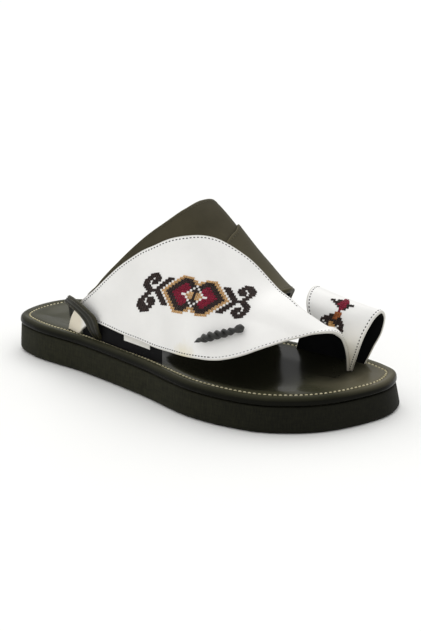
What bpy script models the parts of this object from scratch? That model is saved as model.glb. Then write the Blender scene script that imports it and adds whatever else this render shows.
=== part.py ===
"""Arabic sandal, right shoe: toe along +X, outer side along -Y, standing on z = 0."""

import bmesh
import bpy
import numpy as np

MM = 0.001

# Driving sizes, in millimetres.
SOLE_LENGTH = 282.0
BALL_WIDTH = 110.0
INSTEP_HEIGHT = 96.0
HEEL_BLOCK = 20.0
TOE_BLOCK = 16.0
TOE_FLARE = 2.2
RIM_HEIGHT = 6.0
BORDER_DROP = 0.6
GAP = 0.3
LAYER_GAP = 0.45
OLIVE_WALL = 2.0
OVERLAY_STEP = 1.6
OVERLAY_LIP = 0.8
WHITE_WALL = 1.8
LOOP_WALL = 2.2
LABEL_WALL = 0.6
THONG_STAND = 2.9
THONG_TURNS = 3.5
THONG_ROWS = 40
THONG_SIDES = 14

# How finely the curved pieces are faceted; the strap's rows lie closer near its two bases.
OUTLINE_POINTS = 96
OUTLINE_SAMPLES = 1200
STRAP_ROWS = 42
BASE_CROWDING = 0.45
LEAF_ROWS = 48
NECK_ROWS = 14
LEAF_COLUMNS = 12
RING_ROWS = 34
RING_COLUMNS = 8
LOOP_ROWS = 30
LOOP_COLUMNS = 4

# Sole plan: share of the length, then outer and inner edge as shares of the ball width.
SOLE_PLAN = (
    (0.025, -0.182, 0.273),
    (0.106, -0.273, 0.364),
    (0.287, -0.309, 0.345),
    (0.493, -0.395, 0.395),
    (0.681, -0.500, 0.473),
    (0.823, -0.455, 0.500),
    (0.894, -0.345, 0.486),
    (0.940, -0.218, 0.455),
    (0.979, -0.018, 0.400),
)
HEEL_TIP = (0.0, 0.041)
TOE_TIP = (1.0, 0.218)

# Outsole side: inset from the plan outline, share of the block's height.
BLOCK_PROFILE = (
    (1.6, 0.00),
    (0.0, 0.07),
    (-0.6, 0.16),
    (0.4, 0.96),
    (1.2, 1.00),
)
FLARE_X = (70.0, 140.0)

# Footbed edge: inset from the plan outline, height over the seam.
RIM_PROFILE = (
    (1.0, 0.0),
    (0.1, 0.9),
    (0.0, 3.2),
    (0.7, 5.0),
    (2.4, 6.0),
    (4.3, 5.7),
    (5.8, 5.0),
    (6.5, 4.5),
    (7.2, 5.2),
    (8.0, 5.4),
    (13.6, 5.4),
    (17.0, 4.0),
)
# Dished middle: share of the way out from the spine, height over the seam.
DISH_PROFILE = (
    (0.78, 3.4),
    (0.50, 3.0),
    (0.22, 2.8),
)
SPINE_HEEL = -95.0
SPINE_TOE = 85.0

# The last, a section a row: x, outer and inner base, crest's y, crest height as a share of the instep.
LAST = (
    (-120.0, -19.0, 28.0, 4.0, 1.083),
    (-60.0, -25.5, 28.0, 6.0, 1.083),
    (-20.0, -32.0, 31.5, 9.0, 1.083),
    (5.0, -35.5, 33.5, 11.0, 1.030),
    (45.0, -44.5, 40.0, 12.0, 0.655),
    (66.0, -45.0, 42.5, 10.0, 0.475),
    (86.0, -42.0, 44.5, 11.0, 0.420),
    (100.0, -36.0, 44.5, 14.0, 0.365),
    (118.0, -24.0, 42.0, 20.0, 0.290),
)
FULLNESS_OUTER = 2.3
FULLNESS_INNER = 2.4

# Instep strap: share of the girth from outer to inner base, x of the rear edge, overlay's edge, front edge.
STRAP = (
    (0.00, -43.0, -6.0, 6.0),
    (0.03, -47.0, -4.0, 8.0),
    (0.06, -62.0, 0.0, 12.0),
    (0.10, -51.0, 6.0, 18.0),
    (0.17, -29.5, 14.0, 30.0),
    (0.23, -14.5, 22.0, 42.0),
    (0.30, -0.5, 30.0, 54.0),
    (0.38, 7.0, 35.5, 64.0),
    (0.47, 9.5, 32.0, 69.0),
    (0.56, 10.0, 27.5, 69.5),
    (0.66, 5.0, 22.0, 66.0),
    (0.78, -10.0, 17.0, 59.0),
    (0.90, -26.0, 11.0, 52.0),
    (1.00, -36.0, 7.0, 46.0),
)
OVERLAY_FADE = (0.36, 0.41)
LEAF_LIFT_GIRTH = (0.28, 0.35)
LEAF_LIFT_X = (2.0, 22.0)
TAIL_X = (-84.0, -62.0)

# White leaf, tail to toes: x and girth share of the lower edge, then of the upper edge.
LEAF = (
    (-68.0, 0.000, -82.0, 0.000),
    (-62.0, 0.012, -77.0, 0.025),
    (-54.0, 0.024, -66.0, 0.057),
    (-45.0, 0.027, -48.5, 0.097),
    (-25.0, 0.024, -27.0, 0.157),
    (-8.0, 0.023, -11.0, 0.203),
    (10.5, 0.023, 3.0, 0.245),
    (28.0, 0.033, 18.0, 0.320),
    (44.0, 0.048, 32.0, 0.415),
    (58.0, 0.069, 46.0, 0.469),
    (70.0, 0.101, 62.0, 0.490),
    (80.5, 0.140, 77.0, 0.474),
    (90.0, 0.197, 91.0, 0.437),
    (99.0, 0.267, 102.0, 0.417),
    (106.0, 0.325, 109.0, 0.403),
)
# Neck between the first two toes: lower edge x, y, height over the footbed, then the upper edge.
NECK = (
    (115.4, -4.0, 32.7, 114.2, 2.8, 33.4),
    (117.3, 3.0, 29.8, 113.8, 8.2, 29.6),
    (116.8, 8.5, 25.2, 113.2, 13.4, 24.9),
    (115.8, 13.5, 19.6, 112.5, 17.9, 19.3),
    (114.2, 19.0, 11.6, 111.4, 22.6, 11.4),
    (110.9, 26.0, 0.0, 109.1, 28.4, 0.0),
)

# Toe ring, cleft to inner base: rear edge x, y, height over the footbed, then the front edge.
RING = (
    (109.4, 27.8, 0.0, 112.8, 27.8, 0.0),
    (112.1, 21.9, 11.3, 118.9, 22.8, 11.6),
    (111.2, 16.8, 21.9, 123.0, 20.5, 21.3),
    (94.5, 15.8, 30.8, 125.5, 22.5, 29.5),
    (86.5, 17.0, 41.0, 127.8, 27.0, 36.6),
    (86.0, 24.5, 46.5, 129.0, 33.0, 39.3),
    (84.0, 34.0, 46.5, 127.8, 39.5, 35.0),
    (78.0, 41.0, 36.4, 124.0, 44.0, 24.0),
    (70.0, 43.0, 18.3, 118.0, 44.5, 11.5),
    (63.0, 43.0, 0.0, 112.5, 43.6, 0.0),
)

# Keeper loop, outer base over the leaf's tail to inner base: rear edge, then front edge, as for the ring.
LOOP = (
    (-54.0, -27.6, 0.0, -46.5, -28.4, 0.0),
    (-54.5, -32.6, 6.5, -44.8, -33.8, 9.0),
    (-58.0, -33.6, 12.5, -46.5, -35.0, 17.0),
    (-65.0, -32.8, 17.0, -55.5, -34.6, 22.5),
    (-75.5, -30.5, 19.5, -67.0, -32.2, 26.0),
    (-82.5, -26.5, 19.5, -76.0, -27.5, 25.2),
    (-84.0, -22.0, 16.0, -75.5, -22.0, 20.5),
    (-84.0, -20.6, 8.5, -74.0, -20.8, 9.5),
    (-83.0, -20.4, 0.0, -73.0, -20.8, 0.0),
)

# Twisted thong and label, placed on the last by x and girth share.
THONG_START = (48.0, 0.102)
THONG_END = (74.5, 0.236)
# Share of the thong's length, radius, depth of its two lobes as a share of the radius.
THONG_PROFILE = (
    (0.00, 0.3, 0.20),
    (0.14, 1.2, 0.24),
    (0.28, 2.0, 0.27),
    (0.42, 2.3, 0.27),
    (0.70, 2.2, 0.25),
    (0.81, 1.8, 0.12),
    (0.90, 2.9, 0.00),
    (0.96, 2.3, 0.00),
    (1.00, 0.5, 0.00),
)
LABEL_X = (-21.0, 5.0)
LABEL_GIRTH = (0.009, 0.019)

# Finishes: colour, roughness.
OLIVE_LEATHER = ("olive_leather", (0.060, 0.055, 0.026), 0.35)
WHITE_LEATHER = ("white_leather", (0.830, 0.820, 0.790), 0.45)
SOLE_RUBBER = ("sole_rubber", (0.022, 0.021, 0.014), 0.70)
BED_LEATHER = ("footbed_leather", (0.040, 0.038, 0.020), 0.25)
CORD_LEATHER = ("cord_leather", (0.022, 0.021, 0.016), 0.40)
LABEL_CLOTH = ("label_cloth", (0.780, 0.770, 0.740), 0.80)


def curve(at, stations, values):
    """Smooth cubic through the values that a table's column gives at its stations."""
    at = np.asarray(at, float)
    stations = np.asarray(stations, float)
    values = np.asarray(values, float)
    slopes = np.gradient(values, stations, axis=0)
    k = np.clip(np.searchsorted(stations, at) - 1, 0, len(stations) - 2)
    step = stations[k + 1] - stations[k]
    t = (at - stations[k]) / step
    if values.ndim > 1:
        step = step[:, None]
        t = t[:, None]
    start = (1 + 2 * t) * (1 - t) ** 2 * values[k] + t * (1 - t) ** 2 * step * slopes[k]
    end = t * t * (3 - 2 * t) * values[k + 1] + t * t * (t - 1) * step * slopes[k + 1]
    return start + end


def ramp(value, low, high):
    """0 below low, 1 above high, with a smooth rise between."""
    t = np.clip((value - low) / (high - low), 0.0, 1.0)
    return t * t * (3 - 2 * t)


def plan_outline():
    """Evenly spaced points round the sole's edge, anticlockwise from above."""
    outer = [(share, y) for share, y, _ in SOLE_PLAN]
    inner = [(share, y) for share, _, y in reversed(SOLE_PLAN)]
    marks = np.array([HEEL_TIP] + outer + [TOE_TIP] + inner)
    marks = marks * (SOLE_LENGTH, BALL_WIDTH)
    wrapped = np.vstack([marks[-3:], marks, marks[:4]])
    chord = np.linalg.norm(np.diff(wrapped, axis=0), axis=1) ** 0.5
    along = np.concatenate([[0.0], np.cumsum(chord)])
    fine = curve(np.linspace(along[3], along[-4], OUTLINE_SAMPLES, endpoint=False), along, wrapped)
    closed = np.vstack([fine, fine[:1]])
    run = np.concatenate([[0.0], np.cumsum(np.linalg.norm(np.diff(closed, axis=0), axis=1))])
    even = np.linspace(0.0, run[-1], OUTLINE_POINTS, endpoint=False)
    points = np.column_stack([np.interp(even, run, closed[:, k]) for k in (0, 1)])
    size = points.max(axis=0) - points.min(axis=0)
    points = (points - points.min(axis=0)) / size - 0.5
    return points * (SOLE_LENGTH, BALL_WIDTH)


def inset(outline, distance):
    """The outline moved inwards along its own normals."""
    tangent = np.roll(outline, -1, axis=0) - np.roll(outline, 1, axis=0)
    normal = np.column_stack([tangent[:, 1], -tangent[:, 0]])
    normal /= np.linalg.norm(normal, axis=1)[:, None]
    return outline - normal * distance


def seam_height(x):
    """Height of the seam between the outsole and the footbed: a wedge from heel to toe."""
    return HEEL_BLOCK + (TOE_BLOCK - HEEL_BLOCK) * (x / SOLE_LENGTH + 0.5)


def bed_height(x):
    """Height at which the straps' ends stand on the footbed's flat border."""
    return seam_height(x) + RIM_HEIGHT - BORDER_DROP + 1.5 * GAP


def last_surface(x, girth):
    """Points of the last; girth runs from 0 at the outer base over the crest to 1 at the inner base."""
    table = np.array(LAST)
    outer, inner, crest, share = (curve(x, table[:, 0], table[:, k]) for k in (1, 2, 3, 4))
    turn = np.pi * girth
    across = np.cos(turn)
    fullness = np.where(across > 0, FULLNESS_OUTER, FULLNESS_INNER)
    half = np.where(across > 0, crest - outer, inner - crest)
    y = crest - np.sign(across) * half * np.abs(across) ** (2 / fullness)
    z = bed_height(x) + INSTEP_HEIGHT * share * np.abs(np.sin(turn)) ** (2 / fullness)
    return np.stack([x, y, z], axis=-1)


def last_point(x, girth, offset):
    """Points standing a distance off the last, outwards."""
    x, girth = np.broadcast_arrays(np.asarray(x, float), np.asarray(girth, float))
    along = last_surface(x + 0.05, girth) - last_surface(x - 0.05, girth)
    up = last_surface(x, np.clip(girth + 1e-4, 0, 1)) - last_surface(x, np.clip(girth - 1e-4, 0, 1))
    normal = np.cross(along, up)
    normal /= np.linalg.norm(normal, axis=-1, keepdims=True)
    return last_surface(x, girth) + normal * np.asarray(offset)[..., None]


def grid_normals(grid):
    """Unit normals of a grid of points, from its rows and columns."""
    normal = np.cross(np.gradient(grid, axis=1), np.gradient(grid, axis=0))
    return normal / np.linalg.norm(normal, axis=-1, keepdims=True)


def finish(name, points, faces, look):
    """One closed object in metres, facing out, with its own material."""
    mesh = bpy.data.meshes.new(name)
    mesh.from_pydata((np.asarray(points) * MM).tolist(), [], faces)
    shape = bmesh.new()
    shape.from_mesh(mesh)
    bmesh.ops.recalc_face_normals(shape, faces=shape.faces)
    if shape.calc_volume(signed=True) < 0:
        bmesh.ops.reverse_faces(shape, faces=shape.faces)
    bmesh.ops.triangulate(shape, faces=shape.faces)
    shape.to_mesh(mesh)
    shape.free()
    label, colour, roughness = look
    material = bpy.data.materials.get(label) or bpy.data.materials.new(label)
    material.use_nodes = True
    shader = material.node_tree.nodes["Principled BSDF"]
    shader.inputs["Base Color"].default_value = (*colour, 1.0)
    shader.inputs["Roughness"].default_value = roughness
    shader.inputs["Metallic"].default_value = 0.0
    mesh.materials.append(material)
    obj = bpy.data.objects.new(name, mesh)
    bpy.context.scene.collection.objects.link(obj)
    return obj


def stacked_rings(name, rings, look):
    """A solid from closed rings of points, bottom to top, with both ends capped."""
    count = len(rings[0])
    faces = [tuple(range(count))[::-1]]
    for level in range(len(rings) - 1):
        base = level * count
        for i in range(count):
            j = (i + 1) % count
            faces.append((base + i, base + j, base + count + j, base + count + i))
    top = (len(rings) - 1) * count
    faces.append(tuple(range(top, top + count)))
    return finish(name, np.vstack(rings), faces, look)


def shell(name, inner, outer, look):
    """A sheet of leather: two grids of points, closed along their four edges."""
    rows, columns = inner.shape[:2]
    half = rows * columns
    points = np.vstack([inner.reshape(-1, 3), outer.reshape(-1, 3)])
    faces = []
    for r in range(rows - 1):
        for c in range(columns - 1):
            a = r * columns + c
            quad = (a, a + 1, a + columns + 1, a + columns)
            faces.append(quad)
            faces.append(tuple(half + i for i in reversed(quad)))
    edge = [c for c in range(columns)]
    edge += [r * columns + columns - 1 for r in range(1, rows)]
    edge += [(rows - 1) * columns + c for c in range(columns - 2, -1, -1)]
    edge += [r * columns for r in range(rows - 2, 0, -1)]
    for a, b in zip(edge, edge[1:] + edge[:1]):
        faces.append((b, a, half + a, half + b))
    return finish(name, points, faces, look)


def sheet(name, middle, wall, look):
    """A sheet of even thickness about a grid of points, its first and last rows level with the footbed."""
    normal = grid_normals(middle)
    normal[[0, -1], :, 2] = 0.0
    normal /= np.linalg.norm(normal, axis=-1, keepdims=True)
    return shell(name, middle - normal * wall / 2, middle + normal * wall / 2, look)


def band(table, rows, columns):
    """Grid of a band between its two edges, whose heights are given over the footbed."""
    marks = np.array(table)
    chord = np.linalg.norm(np.diff((marks[:, :3] + marks[:, 3:]) / 2, axis=0), axis=1)
    along = np.concatenate([[0.0], np.cumsum(chord)])
    fine = curve(np.linspace(0.0, along[-1], rows), along, marks)
    share = np.linspace(0.0, 1.0, columns)[None, :, None]
    grid = fine[:, None, :3] * (1 - share) + fine[:, None, 3:] * share
    grid[:, :, 2] += bed_height(grid[:, :, 0])
    return grid


def make_outsole(outline):
    top = seam_height(outline[:, 0]) - GAP / 2
    flare = TOE_FLARE * ramp(outline[:, :1], *FLARE_X)
    rings = [
        np.column_stack([inset(outline, distance - flare * (1 - share)), top * share])
        for distance, share in BLOCK_PROFILE
    ]
    return stacked_rings("outsole", rings, SOLE_RUBBER)


def make_footbed(outline):
    rings = []
    for distance, height in RIM_PROFILE:
        edge = inset(outline, distance)
        rings.append(np.column_stack([edge, seam_height(edge[:, 0]) + GAP / 2 + height]))
    edge = inset(outline, RIM_PROFILE[-1][0])
    spine_x = np.clip(edge[:, 0], SPINE_HEEL, SPINE_TOE)
    table = np.array(SOLE_PLAN) * (SOLE_LENGTH, BALL_WIDTH, BALL_WIDTH)
    spine_y = np.interp(spine_x, table[:, 0] - SOLE_LENGTH / 2, table[:, 1:].mean(axis=1))
    spine = np.column_stack([spine_x, spine_y])
    for share, height in DISH_PROFILE:
        ring = spine + (edge - spine) * share
        rings.append(np.column_stack([ring, seam_height(ring[:, 0]) + GAP / 2 + height]))
    return stacked_rings("footbed", rings, BED_LEATHER)


def make_instep_strap():
    table = np.array(STRAP)
    share = np.linspace(0.0, 1.0, STRAP_ROWS)
    girth = share - BASE_CROWDING * np.sin(2 * np.pi * share) / (2 * np.pi)
    rear, overlay, front = (curve(girth, table[:, 0], table[:, k]) for k in (1, 2, 3))
    behind = rear + (overlay - rear) * np.linspace(0.0, 1.0, 7)[:, None]
    ahead = overlay + OVERLAY_LIP + (front - overlay - OVERLAY_LIP) * np.linspace(0.0, 1.0, 7)[:, None]
    x = np.vstack([behind, ahead]).T
    girth = np.repeat(girth[:, None], x.shape[1], axis=1)
    step = np.zeros_like(x)
    step[:, behind.shape[0]:] = OVERLAY_STEP
    step *= ramp(girth, *OVERLAY_FADE)
    inner = last_point(x, girth, np.zeros_like(x))
    outer = last_point(x, girth, OLIVE_WALL + step)
    return shell("instep_strap", inner, outer, OLIVE_LEATHER)


def leaf_rows(table, positions):
    """Rows of the leaf on the last, from its edge table, at places along the table."""
    low_x, low_girth, high_x, high_girth = (
        curve(positions, np.arange(len(table)), table[:, k])[:, None] for k in range(4)
    )
    share = np.linspace(0.0, 1.0, LEAF_COLUMNS)[None, :]
    x = low_x + (high_x - low_x) * share
    girth = np.clip(low_girth + (high_girth - low_girth) * share, 0.0, 1.0)
    lift = OVERLAY_STEP * ramp(girth, *LEAF_LIFT_GIRTH) * ramp(x, *LEAF_LIFT_X)
    stand = (OLIVE_WALL + LAYER_GAP) * ramp(x, *TAIL_X)
    return last_point(x, girth, stand + WHITE_WALL / 2 + lift)


def make_leaf_and_toe_ring():
    table = np.array(LEAF)
    end = len(table) - 1
    body = leaf_rows(table, np.linspace(0.0, end, LEAF_ROWS))
    share = np.linspace(0.0, 1.0, LEAF_COLUMNS)[None, :, None]
    neck = np.array(NECK)
    neck = neck[:, None, :3] * (1 - share) + neck[:, None, 3:] * share
    neck[:, :, 2] += bed_height(neck[:, :, 0])
    marks = np.concatenate([leaf_rows(table, np.array([end - 1.0, end])), neck])
    places = np.linspace(1.0, len(marks) - 1.0, NECK_ROWS + 1)[1:]
    flat = curve(places, np.arange(len(marks)), marks.reshape(len(marks), -1))
    middle = np.concatenate([body, flat.reshape(NECK_ROWS, LEAF_COLUMNS, 3)])
    leaf = sheet("leaf_and_toe_ring", middle, WHITE_WALL, WHITE_LEATHER)
    ring = sheet("toe_ring_band", band(RING, RING_ROWS, RING_COLUMNS), WHITE_WALL, WHITE_LEATHER)
    ring.hide_render = True
    ring.display_type = "WIRE"
    join = leaf.modifiers.new("joined_at_the_cleft", "BOOLEAN")
    join.operation = "UNION"
    join.solver = "EXACT"
    join.object = ring
    return leaf


def make_keeper_loop():
    return sheet("keeper_loop", band(LOOP, LOOP_ROWS, LOOP_COLUMNS), LOOP_WALL, OLIVE_LEATHER)


def make_twisted_thong():
    profile = np.array(THONG_PROFILE)
    t = np.linspace(0.0, 1.0, THONG_ROWS)
    radius, depth = (curve(t, profile[:, 0], profile[:, k])[:, None] for k in (1, 2))
    x, girth = (THONG_START[k] + (THONG_END[k] - THONG_START[k]) * t for k in (0, 1))
    stand = OLIVE_WALL + LAYER_GAP + WHITE_WALL + GAP + THONG_STAND
    axis = last_point(x, girth, np.full(THONG_ROWS, stand))
    forward = np.gradient(axis, axis=0)
    forward /= np.linalg.norm(forward, axis=1)[:, None]
    out = last_point(x, girth, np.full(THONG_ROWS, stand + 1.0)) - axis
    side = np.cross(forward, out)
    angle = np.linspace(0.0, 2 * np.pi, THONG_SIDES, endpoint=False)[None, :]
    reach = radius * (1 + depth * np.cos(2 * angle - 4 * np.pi * THONG_TURNS * t[:, None]))
    spread = np.cos(angle)[..., None] * out[:, None] + np.sin(angle)[..., None] * side[:, None]
    return stacked_rings("twisted_thong", list(axis[:, None] + reach[..., None] * spread), CORD_LEATHER)


def make_label_tab():
    x = np.linspace(*LABEL_X, 6)[:, None]
    girth = np.linspace(*LABEL_GIRTH, 3)[None, :]
    x, girth = np.broadcast_arrays(x, girth)
    near = np.full(x.shape, OLIVE_WALL + GAP)
    inner = last_point(x, girth, near)
    outer = last_point(x, girth, near + LABEL_WALL)
    return shell("label_tab", inner, outer, LABEL_CLOTH)


for old in list(bpy.data.objects):
    bpy.data.objects.remove(old, do_unlink=True)

sole_outline = plan_outline()
make_outsole(sole_outline)
make_footbed(sole_outline)
make_instep_strap()
make_leaf_and_toe_ring()
make_keeper_loop()
make_twisted_thong()
make_label_tab()
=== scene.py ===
# %% [markdown]
# # A right sandal in olive and white leather
# The sandal has a wedge sole, a glossy stitched footbed, an olive instep strap, and over it a white
# leaf that runs down between the first two toes and round the big toe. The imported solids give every
# place and size. This lesson dresses them: it models each piece again in fine mesh with soft edges,
# gives it its leather, rubber or thread, and sews the stitches and the cross-stitch ornament on.

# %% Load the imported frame
import math

import bmesh
import bpy
import numpy as np
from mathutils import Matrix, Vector


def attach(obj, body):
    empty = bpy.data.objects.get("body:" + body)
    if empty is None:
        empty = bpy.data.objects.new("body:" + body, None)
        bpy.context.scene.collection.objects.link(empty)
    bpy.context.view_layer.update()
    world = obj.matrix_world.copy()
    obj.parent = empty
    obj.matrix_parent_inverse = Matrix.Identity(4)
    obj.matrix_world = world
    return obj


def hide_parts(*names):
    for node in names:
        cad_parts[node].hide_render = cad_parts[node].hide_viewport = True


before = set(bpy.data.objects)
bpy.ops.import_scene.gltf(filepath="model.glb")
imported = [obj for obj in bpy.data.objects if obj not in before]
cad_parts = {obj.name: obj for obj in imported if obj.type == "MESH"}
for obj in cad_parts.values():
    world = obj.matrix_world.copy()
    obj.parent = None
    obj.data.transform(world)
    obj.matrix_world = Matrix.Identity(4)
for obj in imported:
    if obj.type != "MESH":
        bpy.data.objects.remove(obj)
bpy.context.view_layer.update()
MM = 0.001

# %% [markdown]
# ## The camera
# The photograph looks down on the outer side of the shoe from in front of the toes. A long lens from
# about three quarters of a metre gives its mild perspective, and the aim alone frames the shoe, so the
# camera needs no shift.

# %% Camera
CAMERA_PLACE = (467.1, -576.6, 263.0)
CAMERA_AIM = (79.7, -74.4, 75.5)
CAMERA_LENS = 67.1

lens = bpy.data.cameras.new("photo_camera")
lens.lens = CAMERA_LENS
lens.sensor_width = 36.0
camera = bpy.data.objects.new("photo_camera", lens)
bpy.context.scene.collection.objects.link(camera)
camera.location = Vector(CAMERA_PLACE) * MM
sight = Vector(CAMERA_AIM) - Vector(CAMERA_PLACE)
camera.rotation_euler = sight.to_track_quat("-Z", "Y").to_euler()
bpy.context.scene.camera = camera
print("camera stands", round(sight.length), "mm from its aim")

# %% [markdown]
# ## Nodes and colours
# Materials and Geometry Nodes are both trees of nodes. One small function adds a node with its settings
# and its links, and one turns the sRGB hex codes that people write into the linear numbers that the
# renderer uses.

# %% Node and colour helpers
def add(tree, kind, inputs=None, **settings):
    """A node of that kind; a socket given as an input is linked, anything else is set."""
    node = tree.nodes.new(kind)
    for name, value in settings.items():
        setattr(node, name, value)
    for name, value in (inputs or {}).items():
        if isinstance(value, bpy.types.NodeSocket):
            tree.links.new(value, node.inputs[name])
        else:
            node.inputs[name].default_value = value
    return node


def colour(hex_code):
    """Linear RGBA of an sRGB hex code."""
    shares = [int(hex_code[i:i + 2], 16) / 255 for i in (1, 3, 5)]
    linear = [s / 12.92 if s <= 0.04045 else ((s + 0.055) / 1.055) ** 2.4 for s in shares]
    return (*linear, 1.0)


def new_material(name, roughness, ior=1.5, **sockets):
    """A material's tree and shader, with what is the same all over its surface."""
    material = bpy.data.materials.new(name)
    material.use_nodes = True
    shader = material.node_tree.nodes["Principled BSDF"]
    shader.inputs["Roughness"].default_value = roughness
    shader.inputs["IOR"].default_value = ior
    for socket, value in sockets.items():
        shader.inputs[socket.replace("_", " ")].default_value = value
    return material, material.node_tree, shader


def rise(tree, value, low, high, start=0.0, end=1.0):
    """A number that goes from start to end while the value goes from low to high."""
    sockets = {"Value": value, "From Min": low, "From Max": high, "To Min": start, "To Max": end}
    return add(tree, "ShaderNodeMapRange", sockets).outputs[0]


def reckon(tree, operation, *values):
    """A sum, product or the like of numbers and sockets."""
    return add(tree, "ShaderNodeMath", dict(enumerate(values)), operation=operation).outputs[0]


def blend(tree, share, base, other):
    """A colour between two colours, by a share from 0 to 1."""
    sockets = {"Factor": share, "A": base, "B": other}
    return add(tree, "ShaderNodeMix", sockets, data_type="RGBA").outputs["Result"]


print("white is", [round(share, 3) for share in colour("#FFFFFF")])

# %% [markdown]
# ## Stage and light
# The photograph stands on white, with a soft shadow close round the sole and deep dark under the leaf. A
# white dome gives both: bright overhead, dim at the horizon so that the dark leathers stay dark, and a
# little brighter on the camera's left, where the heel of the sole catches more light than its toe. One
# soft sun, high and behind, models the leaf and lays the shadow towards the camera.

# %% Floor, dome and sun
DOME_HORIZON = 0.45
DOME_ZENITH = 1.05
DOME_LEFT = 0.30
LEFT_OF_CAMERA = (-0.79, -0.61, 0.0)
SUN_FROM = (-0.45, 0.60, 1.0)
SUN_STRENGTH = 0.9
SUN_WIDTH = 50.0
FLOOR_REACH = 40.0

corners = [(FLOOR_REACH * x, FLOOR_REACH * y, 0.0) for x, y in ((-1, -1), (1, -1), (1, 1), (-1, 1))]
floor_mesh = bpy.data.meshes.new("floor")
floor_mesh.from_pydata(corners, [], [(0, 1, 2, 3)])
floor = bpy.data.objects.new("floor", floor_mesh)
bpy.context.scene.collection.objects.link(floor)
paper, _, shader = new_material("floor_matt_paper", 0.9, Specular_IOR_Level=0.1)
shader.inputs["Base Color"].default_value = colour("#F4F4F2")
floor_mesh.materials.append(paper)

world = bpy.data.worlds.new("white_studio")
bpy.context.scene.world = world
world.use_nodes = True
tree = world.node_tree
background = tree.nodes["Background"]
background.inputs["Color"].default_value = colour("#FFFFFF")
towards = add(tree, "ShaderNodeTexCoord").outputs["Generated"]
height = add(tree, "ShaderNodeSeparateXYZ", {"Vector": towards})
overhead = rise(tree, height.outputs["Z"], 0.0, 1.0, DOME_HORIZON, DOME_ZENITH)
aside = add(tree, "ShaderNodeVectorMath", {0: towards, 1: LEFT_OF_CAMERA}, operation="DOT_PRODUCT")
leftward = rise(tree, aside.outputs["Value"], 0.0, 1.0, 0.0, DOME_LEFT)
tree.links.new(reckon(tree, "ADD", overhead, leftward), background.inputs["Strength"])
bpy.context.scene.view_settings.view_transform = "Standard"

light = bpy.data.lights.new("soft_sun", "SUN")
light.energy = SUN_STRENGTH
light.angle = math.radians(SUN_WIDTH)
sun = bpy.data.objects.new("soft_sun", light)
bpy.context.scene.collection.objects.link(sun)
sun.rotation_euler = (-Vector(SUN_FROM)).to_track_quat("-Z", "Y").to_euler()
print("dome from", DOME_HORIZON, "to", DOME_ZENITH, "and sun", SUN_STRENGTH)

# %% [markdown]
# ## Leathers
# All the leathers are smooth, finished hides. What the eye reads is a colour that drifts a little, fine
# pores, and slow swells that bend the highlights. The pores of real hide are about 0.3 mm; they are
# drawn four times as coarse here, or they would vanish between two pixels.

# %% Leather helper
DRIFT_BAND = (0.35, 0.65)


def own_place(tree):
    return add(tree, "ShaderNodeTexCoord").outputs["Object"]


def axes_of(tree, place):
    return add(tree, "ShaderNodeSeparateXYZ", {"Vector": place}).outputs


def distance_to(tree, place, centre_mm):
    spot = tuple(value * MM for value in centre_mm)
    return add(tree, "ShaderNodeVectorMath", {0: place, 1: spot}, operation="DISTANCE").outputs["Value"]


def noise(tree, place, patch_mm, detail=3.0, roughness=0.5):
    """Noise with patches of that size."""
    sockets = {"Vector": place, "Scale": 1 / (patch_mm * MM), "Detail": detail, "Roughness": roughness}
    return add(tree, "ShaderNodeTexNoise", sockets).outputs[0]


def bump(tree, height, depth_mm, strength=1.0):
    return add(tree, "ShaderNodeBump", {"Height": height, "Strength": strength, "Distance": depth_mm * MM})


def hide_surface(tree, shader, pore_mm, pore_depth, swell_mm, swell_depth):
    """Pores and swells as bump, read in the piece's own place."""
    place = own_place(tree)
    scale = 1 / (pore_mm * MM)
    pores = add(tree, "ShaderNodeTexVoronoi", {"Vector": place, "Scale": scale}, feature="SMOOTH_F1")
    slow = bump(tree, noise(tree, place, swell_mm), swell_depth)
    fine = bump(tree, pores.outputs["Distance"], pore_depth)
    tree.links.new(slow.outputs[0], fine.inputs["Normal"])
    tree.links.new(fine.outputs[0], shader.inputs["Normal"])
    return place


def drift(tree, place, patch_mm, low, high, detail=4.0):
    """A colour that wanders between two shades over patches of that size."""
    share = rise(tree, noise(tree, place, patch_mm, detail), *DRIFT_BAND)
    return blend(tree, share, colour(low), colour(high))


def edge_distance(tree):
    return add(tree, "ShaderNodeAttribute", attribute_name="edge_mm").outputs["Fac"]


def edge_tint_and_sheen(tree, base, reach_mm, strength, edge_colour):
    """The base colour, turning to the edge colour along the cut edge of a sheet: greyer on the white, and on
    the olive a painted highlight along the fold.
    """
    return blend(tree, rise(tree, edge_distance(tree), 0.0, reach_mm, strength, 0.0), base, colour(edge_colour))


def fade(tree, value, low, high, base, other, share=1.0):
    """The base colour, turning to the other as the value goes from low to high."""
    return blend(tree, rise(tree, value, low, high, 0.0, share), base, colour(other))


print("pores drawn at 1.2 mm")

# %% White leather
# Finished white calf: a soft sheen, a hint of grey, a greyer cut edge, cream in the tail under the loop,
# painted shade low between the toes, and one faint yellow trace of glue near the leaf's lower edge.
GLUE_TRACE = (38.0, -48.0, 34.0)
GLUE_REACH = (18.0, 8.0)
GLUE_RAGGED = 12.0
CREAM_TAIL_X = (-62.0, -67.0)
SHADE_TOE_Z = (58.0, 30.0)
SHADE_TOE_X = (92.0, 108.0)

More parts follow.
